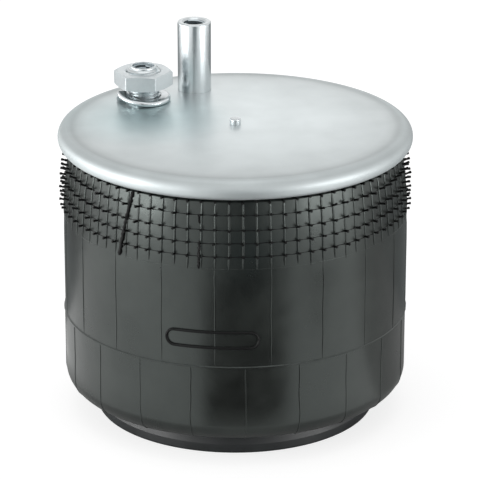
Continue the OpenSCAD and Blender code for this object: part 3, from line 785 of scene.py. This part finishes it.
class AIRSPRING_OT_bellows_moulding(bpy.types.Operator):
    """Rubber bellows: outer wall with its fold, inner wall on the piston, and the lower bead"""
    bl_idname = "air_spring.bellows_moulding"
    bl_label = "Bellows"

    def outside(self, b, curl, inner_r):
        """Upper bead, outer wall with the parting fin, and the fold"""
        rim_r, rim_z = PLATE_HIGH.x - curl, PLATE_HIGH.z - curl
        bead_z, bead_top, bead_out = rim_z - b.bead_r + 0.48 * MM, rim_z + b.bead_r, rim_r + b.bead_r
        neck_z, neck_in = PLATE_LOW.z, b.neck_r - b.wall
        bead_edge = 2.9 * MM
        curve = [(wall_point(b, 90, z).x, z) for z in spaced(b.shoulder_z, b.mouth_z, 14)]
        outer = [(BELLOWS_R, 48 * MM), (BELLOWS_R, PARTING_Z - b.fin_t),
                 (BELLOWS_R + b.fin, PARTING_Z - b.fin_t / 3), (BELLOWS_R + b.fin, PARTING_Z + b.fin_t / 3),
                 (BELLOWS_R, PARTING_Z + b.fin_t), (BELLOWS_R, 95 * MM), *curve]
        bead = [(b.neck_r, neck_z), (b.neck_r, bead_z), (bead_out, bead_z, bead_edge),
                (bead_out, bead_top, bead_edge), (neck_in, bead_top, bead_edge), (neck_in, neck_z)]
        inside = [(r - b.wall, z) for r, z in reversed(curve)]
        bend, low = FOLD_R - b.wall, FOLD_LOW.z
        fold = [(BELLOWS_R - b.wall, low + b.wall, bend), (inner_r + b.wall, low + b.wall, bend),
                (inner_r + b.wall, FOLD_Z), (inner_r, FOLD_Z), (inner_r, low, FOLD_R),
                (BELLOWS_R, low, FOLD_R)]
        bm = turned(outer + bead + inside + fold, 320)
        # The fin was trimmed by hand, so its edge is ragged
        for vert in bm.verts:
            if abs(vert.co.z - PARTING_Z) < b.fin_t / 2 and vert.co.xy.length > BELLOWS_R + b.fin / 2:
                share = 0.62 + 0.5 * noise.noise(vert.co * 14) + 0.2 * noise.noise(vert.co * 260)
                trimmed = (BELLOWS_R + b.fin * min(1, max(0.15, share))) / vert.co.xy.length
                vert.co.x *= trimmed
                vert.co.y *= trimmed
        return make_object(bm, "bellows_moulding", "moulded_rubber")

    def execute(self, context):
        b = context.scene.air_spring.bellows
        inner_r = BELLOWS_R - 2 * FOLD_R
        outside = self.outside(b, context.scene.air_spring.plate.curl, inner_r)
        settle(outside, "bellows_rubber", None, "bellows_wall", "bellows_rolling_wall", "bellows_fold")
        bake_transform(outside)

        leg_r, leg_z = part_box("bellows_inner_leg")[1].xz
        bm = turned([(inner_r, FOLD_Z), (leg_r, FOLD_Z), (leg_r, leg_z), (inner_r, leg_z)], 256)
        leg = settle(make_object(bm, "bellows_inner_wall", "moulded_rubber"), "bellows_rubber", "piston",
                     "bellows_inner_leg")
        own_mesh(leg)

        bead_low, bead_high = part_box("bellows_lower_bead")
        arc_z, top_z, out_r = bead_low.z, bead_high.z, bead_high.x
        # The wall bends over the piston's shoulder on this inner radius, on to the bead on its seat
        arc, seat_r = 14.3 * MM, 58.3 * MM
        deck_z = arc_z + arc
        lip_r = seat_r + 9 * MM
        bm = turned([(inner_r, arc_z), (out_r, arc_z), (out_r, deck_z + b.wall, arc + b.wall),
                     (lip_r, deck_z + b.wall, 0.8 * MM), (lip_r, top_z, 1.5 * MM), (seat_r, top_z, 1.5 * MM),
                     (seat_r, deck_z, 0.8 * MM), (inner_r, deck_z, arc)], 256)
        lower_end = make_object(bm, "bellows_lower_end", "moulded_rubber")
        settle(lower_end, "bellows_rubber", "piston", "bellows_lower_bead")
        return {"FINISHED"}


class AIRSPRING_OT_mould_lines(bpy.types.Operator):
    """Raised lines that the mould leaves: vent lines, thin lines below them, flash and splices"""
    bl_idname = "air_spring.mould_lines"
    bl_label = "Mould lines"

    def spread(self, b, chance, name, runs, count, start, width, proud, loose, sway):
        """Copies of one ridge round the wall, each a little longer or shorter than the last"""
        places = [Matrix.Rotation(math.radians(start + 360 / count * k), 4, "Z")
                  @ Matrix.Translation((0, 0, runs[0]))
                  @ Matrix.Diagonal((1, 1, 1 + chance.uniform(-loose, loose), 1))
                  @ Matrix.Translation((0, 0, -runs[0])) for k in range(count)]
        bm = scatter(draw_ridge(b, runs, width, proud), places)
        for vert in bm.verts:
            side = Vector((-vert.co.y, vert.co.x, 0)).normalized()
            vert.co += side * sway * noise.noise(vert.co * 75)
        return make_object(bm, name, "moulded_rubber")

    def execute(self, context):
        b, m = context.scene.air_spring.bellows, context.scene.air_spring.marks
        chance = random.Random(3)
        first = math.degrees(m.first_rib)
        runs = spaced(m.rib_high, m.rib_low, 12)
        ribs = self.spread(b, chance, "vent_lines", runs, m.ribs, first, m.rib_w, m.rib_h, 0.035, 0.35 * MM)
        settle(ribs, "bellows_rubber", "plate")
        runs = spaced(m.rib_low + 3 * MM, PARTING_Z, 8)
        lines = self.spread(b, chance, "wall_lines", runs, m.sectors, first, m.line_w, m.line_h, 0.0,
                            0.5 * MM)
        settle(lines, "bellows_rubber", "plate")
        # The lower half of the mould is turned against the upper one, and its lines end under the fold
        turn = 3.3
        runs = spaced(PARTING_Z, FOLD_LOW.z - 8 * MM, 24)
        lines = self.spread(b, chance, "rolling_lines", runs, m.sectors, turn, m.line_w, m.line_h, 0.0,
                            0.8 * MM)
        settle(lines, "bellows_rubber", None)
        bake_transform(lines)

        # Each row of vents leaves a skin between the vent lines, thickest where it crosses one; the skin is
        # drawn in black rubber, as painted shade along it
        flash = []
        for height in (168.3, 159.0, 150.5, 142.0):
            ring = []
            for i in range(m.ribs * 10):
                wave = noise.noise((i / 9, height, 0)) * 0.35 + noise.noise((i / 60, height, 5)) * 0.4
                knot = math.exp(-((min(i % 10, 10 - i % 10) / 2.6) ** 2))
                width = 0.2 + 0.12 * noise.noise((i / 7, height, 9)) + 0.3 * knot
                place = wall_point(b, first + i * 36 / m.ribs, (height + wave * (1 - knot)) * MM, -0.05 * MM)
                ring.append((place, width * MM))
            flash.append(ring)
        settle(cast_lines("mould_flash", flash, "whisker_rubber", True), "bellows_rubber", "plate")
        # A low uneven step where the vent lines end
        edge = []
        for i in range(320):
            height = m.rib_low + 0.6 * MM * noise.noise((i / 20, 1, 2))
            width = max(0.02, 0.14 + 0.3 * noise.noise((i / 11, 3, 4)))
            edge.append((wall_point(b, i * 360 / 320, height, -0.02 * MM), width * MM))
        settle(cast_lines("mould_step", [edge], "moulded_rubber", True), "bellows_rubber", "plate")

        # Splices in the rubber: directions of the upper and lower end, their heights in mm, and half width
        seams = []
        for start, end, high, low, half in ((-36.2, -40.6, 177, 133.5, 1.4), (-11.5, -11.9, 152, 134, 1.0),
                                            (-11.8, -11.6, 168.5, 163, 0.85)):
            seam = []
            for i in range(28):
                share = i / 27
                width = half * chance.uniform(0.6, 1.25) * (0.5 if i in (0, 27) else 1)
                turn = start + (end - start) * share + chance.uniform(-0.18, 0.18)
                seam.append((wall_point(b, turn, (high + (low - high) * share) * MM, 0.1 * MM), width * MM))
            seams.append(seam)
        settle(cast_lines("splice_seams", seams, "whisker_rubber"), "bellows_rubber", "plate")
        return {"FINISHED"}


class AIRSPRING_OT_number_frame(bpy.types.Operator):
    """Raised rim of an empty frame on the wall, drawn in black rubber as painted shade round the frame"""
    bl_idname = "air_spring.number_frame"
    bl_label = "Number frame"

    def execute(self, context):
        b, m = context.scene.air_spring.bellows, context.scene.air_spring.marks
        # Heights of the frame's edges, and the directions of its ends in degrees from the front
        low, high, left_end, right_end = 81.4 * MM, 91.8 * MM, -22.6, 7.5
        middle, end_r = (low + high) / 2, (high - low) / 2
        end_turn = math.degrees(end_r / BELLOWS_R)
        left, right = left_end + end_turn, right_end - end_turn
        rim = []
        # A round end, then the straight edge from it to the other end, twice
        for turn, next_turn, start, edge in ((right, left, -90, high), (left, right, 90, low)):
            for i in range(16):
                bend = math.radians(start + 180 * (i + 0.5) / 16)
                rim.append((turn + end_turn * math.cos(bend), middle + end_r * math.sin(bend)))
            rim += [(along, edge) for along in spaced(turn, next_turn, 24)[1:-1]]
        run = [(wall_point(b, turn, height, 0.25 * MM), m.frame_r) for turn, height in rim]
        # Painted shade: the rim is drawn in the black rubber of the whiskers
        settle(cast_lines("number_frame", [run], "whisker_rubber", True), "bellows_rubber", "plate")
        return {"FINISHED"}


class AIRSPRING_OT_vent_whiskers(bpy.types.Operator):
    """Whiskers of rubber that the mould's vents leave, in rows round the shoulder"""
    bl_idname = "air_spring.vent_whiskers"
    bl_label = "Vent whiskers"

    def execute(self, context):
        b, m = context.scene.air_spring.bellows, context.scene.air_spring.marks
        chance = random.Random(11)
        thin, thick = m.whisker_r * 0.85, m.whisker_r * 1.2
        root = -0.5 * MM
        whisker = turned([(0, root), (m.whisker_r, root), (thin, 0.55 * m.whisker), (thick, 0.88 * m.whisker),
                          (thin, m.whisker), (0, m.whisker)], 6)
        places = []
        # Height of each row in mm, how far its whiskers tilt up in degrees, and their share of the length
        for height, tilt, reach in ((177.0, 4, 0.62), (168.3, 20, 1.0), (159.0, 16, 0.98), (150.5, 12, 0.84),
                                    (142.0, 10, 0.7)):
            for k in range(m.ribs):
                turn = math.degrees(m.first_rib) + 360 / m.ribs * k + chance.uniform(-0.2, 0.2)
                foot = wall_point(b, turn, height * MM + chance.uniform(-0.4, 0.4) * MM)
                up = math.radians(tilt + chance.uniform(-8, 8) * reach)
                aside = math.radians(turn + chance.uniform(-9, 9))
                grow = reach * chance.uniform(0.92, 1.06)
                places.append(Matrix.Translation(foot) @ Matrix.Rotation(aside, 4, "Z")
                              @ Matrix.Rotation(math.radians(90) - up, 4, "X")
                              @ Matrix.Diagonal((1, 1, grow, 1)))
        piece = make_object(scatter(whisker, places), "vent_whiskers", "whisker_rubber", 50)
        settle(piece, "bellows_rubber", "plate")
        return {"FINISHED"}


class AIRSPRING_OT_buffer(bpy.types.Operator):
    """Waisted rubber bump stop, hollow where it snaps over its retainer"""
    bl_idname = "air_spring.buffer"
    bl_label = "Bump stop"

    def execute(self, context):
        bump_low, bump_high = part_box("bump_stop")
        low, high, foot_r = bump_low.z, bump_high.z, bump_high.x
        head_r, head_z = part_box("bump_stop_retainer")[1].xz
        gap = 0.3 * MM
        groove_r, bolt_r, head_t = 14 * MM, 13.2 * MM, 5 * MM
        room_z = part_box("closure_bolt")[1].z + 1 * MM
        tall = high - low + gap
        # The side tapers by 3 mm in all, is waisted below the middle, and closes in a dome with a flat top
        taper, waist_depth, dome_start, top_r = 3 * MM, 5.5 * MM, 0.72, 12 * MM
        outline = []
        for i in range(2, 25):
            share = i / 24
            if share < dome_start:
                waist = waist_depth * math.exp(-((share - 0.42) / 0.1) ** 2)
                reach = foot_r - taper * share - waist
            else:
                dome = math.sqrt(max(0.0, 1 - ((share - dome_start) / (1 - dome_start)) ** 2))
                reach = top_r + (foot_r - taper * dome_start - top_r) * dome
            outline.append((reach, low - gap + tall * share))
        bm = turned([(groove_r + gap, low), (foot_r, low, 1.5 * MM), *outline, (0, high), (0, room_z),
                     (bolt_r, room_z), (bolt_r, head_z + gap), (head_r + gap, head_z + gap),
                     (head_r + gap, head_z - head_t - gap), (groove_r + gap, head_z - head_t - gap)], 128)
        settle(make_object(bm, "buffer", "buffer_rubber", 40), "bump_rubber", "piston", "bump_stop")
        return {"FINISHED"}


class AIRSPRING_OT_piston_and_closure(bpy.types.Operator):
    """Finishes of the piston's mouldings and the steel inside it, and the thread in the mounting insert"""
    bl_idname = "air_spring.piston_and_closure"
    bl_label = "Piston and closure"

    def execute(self, context):
        f = context.scene.air_spring.fittings
        finishes = {
            "moulded_polyamide": ("piston_shell", "piston_base"),
            "zinc_plated_turning": ("mounting_insert", "bolt_insert", "bump_stop_retainer", "closure_washer",
                                    "closure_bolt"),
            "zinc_plated_pressing": ("closure_plate",),
            "drawn_wire": ("upper_bead_wire", "lower_bead_wire"),
        }
        for look, names in finishes.items():
            for name in names:
                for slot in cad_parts[name].material_slots:
                    slot.material = finish(look)
        low, high = (corner.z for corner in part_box("mounting_insert"))
        bm = bmesh.new()
        add_thread(bm, f.insert_thread, f.insert_thread - f.depth, low + 1 * MM, high, f.pitch)
        settle(make_object(bm, "insert_thread", "zinc_plated_turning"), "zinc_turned", "piston")
        return {"FINISHED"}


class AIRSPRING_OT_stage(bpy.types.Operator):
    """Floor, world, cards, lamps and camera"""
    bl_idname = "air_spring.stage"
    bl_label = "Stage"

    def light_world(self, scene, ambient):
        """Even light from all round, which shows as plain white"""
        world = bpy.data.worlds.new("studio")
        world.use_nodes = True
        tree = world.node_tree
        tree.nodes.clear()
        light = add_node(tree, "Background", (1, 1, 1, 1), ambient)
        white = add_node(tree, "Background", (1, 1, 1, 1), 1.0)
        add_node(tree, "OutputWorld", Surface=add_node(tree, "MixShader", seen_directly(tree), light, white))
        scene.world = world

    def lay_floor(self, tint, glow):
        """Floor that looks white where it is lit and keeps a soft shadow"""
        material, tree = start_material("painted_floor")
        body = add_node(tree, "BsdfDiffuse", (*tint, 1))
        # Seen directly, it shows this share of the light on it, and the glow makes up the rest
        shown = 0.4
        half = add_node(tree, "BsdfDiffuse", (shown, shown, shown, 1))
        lit = add_node(tree, "AddShader", half, add_node(tree, "Emission", (1, 1, 1, 1), glow))
        add_node(tree, "OutputMaterial", Surface=add_node(tree, "MixShader", seen_directly(tree), body, lit))
        bm = bmesh.new()
        bmesh.ops.create_circle(bm, cap_ends=True, segments=96, radius=4.0,
                                matrix=Matrix.Translation((0, 0, -0.2 * MM)))
        make_object(bm, "floor", material.name)

    def set_cards(self, c):
        """Cards that only reflections see, which give the metal and the rubber the dark parts of a studio"""
        around = [math.tau * i / 32 for i in range(32)]
        ring = [(0.15 * math.cos(a), 0.15 * math.sin(a)) for a in around]
        # Lying cards: colour, height and corners. Cards that overlap lie at different heights
        for name, tint, height, corners in (
                ("floor_card", c.black_card, 0.001, ((-0.04, -0.16), (0.07, -0.16), (0.36, -0.57),
                                                     (-0.19, -0.57))),
                ("far_card", c.far_card, 0.001, ((-0.19, -0.57), (0.36, -0.57), (0.50, -1.25),
                                                 (-0.30, -1.25))),
                ("back_card", c.grey_card, 0.001, ((-0.9, 0.14), (0.9, 0.11), (0.9, 1.3), (-0.9, 1.3))),
                ("right_card", c.pale_card, 0.002, ((0.14, -0.04), (0.9, -0.16), (0.9, 0.11), (0.12, 0.13))),
                ("right_front_card", c.front_card, 0.0006, ((0.22, -0.19), (0.9, -0.12), (0.9, -0.75),
                                                            (0.43, -0.66))),
                ("nut_card", c.nut_card, 0.002, ((-0.33, 0.2), (-0.33, 0.55), (-0.85, 0.55), (-0.85, 0.2))),
                ("foot_card", c.foot_card, 0.0005, ring)):
            lay_card(name, tint, [(x, y, height) for x, y in corners])
        # Standing cards: colour, left and right edge, distance back, and lower and upper edge
        for name, tint, left, right, y, low, high in (
                ("standing_card", c.blue_card, -0.22, 0.38, -1.25, 0, 0.42),
                ("sleeve_card", c.black_card, -0.22, -0.02, -1.25, 0.42, 1.0),
                ("rear_card", c.grey_card, 0.05, 1.2, 1.3, 0, 0.3)):
            lay_card(name, tint, ((left, y, low), (right, y, low), (right, y, high), (left, y, high)))

    def hang_lamps(self, context, g):
        """Low lamps at the sides, a weak one behind and a soft one above"""
        middle = Vector((0, 0, 120 * MM))
        for name, place, wide, tall, energy in (
                ("left_lamp", (-1.45, -0.66, 0.17), 1.15, 0.3, g.side_light),
                ("right_lamp", (1.45, -0.78, 0.18), 1.1, 0.3, g.side_light * 0.85),
                ("left_upper_lamp", (-1.4, -0.7, 0.8), 1.1, 0.6, g.side_light * 0.2),
                ("left_rear_lamp", (-1.4, 0.4, 0.25), 0.9, 0.4, g.side_light * 0.35),
                ("back_lamp", (0.03, 0.75, 0.42), 0.42, 0.22, g.back_light),
                ("top_lamp", (0.0, 0.2, 1.9), 1.4, 1.4, g.top_light)):
            lamp = bpy.data.lights.new(name, "AREA")
            lamp.shape = "RECTANGLE"
            lamp.size, lamp.size_y = wide, tall
            lamp.energy = energy
            holder = bpy.data.objects.new(name, lamp)
            holder.visible_camera = False
            holder.location = place
            holder.rotation_euler = (middle - Vector(place)).to_track_quat("-Z", "Y").to_euler()
            context.collection.objects.link(holder)

    def execute(self, context):
        s, scene = context.scene.air_spring, context.scene
        g = s.stage
        scene.view_settings.view_transform = "Standard"
        self.light_world(scene, g.ambient)
        self.lay_floor(s.colours.floor, g.glow)
        self.set_cards(s.colours)
        self.hang_lamps(context, g)
        camera = bpy.data.objects.new("camera", bpy.data.cameras.new("camera"))
        camera.data.lens = g.lens
        camera.data.sensor_width = 36
        camera.data.shift_x = g.shift
        camera.location = g.eye
        camera.rotation_euler = (Vector(g.target) - Vector(g.eye)).to_track_quat("-Z", "Y").to_euler()
        context.collection.objects.link(camera)
        scene.camera = camera
        return {"FINISHED"}


class AIRSPRING_PT_pieces(bpy.types.Panel):
    """Lists the pieces of the spring"""
    bl_label = "Air spring"
    bl_idname = "AIRSPRING_PT_pieces"
    bl_space_type = "VIEW_3D"
    bl_region_type = "UI"
    bl_category = "Air spring"

    def draw(self, context):
        for operator in OPERATORS:
            self.layout.operator(operator.bl_idname)


OPERATORS = (
    AIRSPRING_OT_plate_pressing,
    AIRSPRING_OT_mounting_sleeve,
    AIRSPRING_OT_inlet_fitting,
    AIRSPRING_OT_hexagon_nut,
    AIRSPRING_OT_split_washer,
    AIRSPRING_OT_plate_pin,
    AIRSPRING_OT_bellows_moulding,
    AIRSPRING_OT_mould_lines,
    AIRSPRING_OT_number_frame,
    AIRSPRING_OT_vent_whiskers,
    AIRSPRING_OT_buffer,
    AIRSPRING_OT_piston_and_closure,
    AIRSPRING_OT_stage,
)
CLASSES = (AIRSPRING_PG_plate, AIRSPRING_PG_fittings, AIRSPRING_PG_bellows, AIRSPRING_PG_marks,
           AIRSPRING_PG_colours, AIRSPRING_PG_stage, AIRSPRING_PG_settings, *OPERATORS, AIRSPRING_PT_pieces)


def register():
    for cls in CLASSES:
        bpy.utils.register_class(cls)
    bpy.types.Scene.air_spring = PointerProperty(type=AIRSPRING_PG_settings)


def unregister():
    del bpy.types.Scene.air_spring
    for cls in reversed(CLASSES):
        bpy.utils.unregister_class(cls)


def main():
    register()
    for operator in OPERATORS:
        group, name = operator.bl_idname.split(".")
        getattr(getattr(bpy.ops, group), name)()


if __name__ == "__main__":
    main()
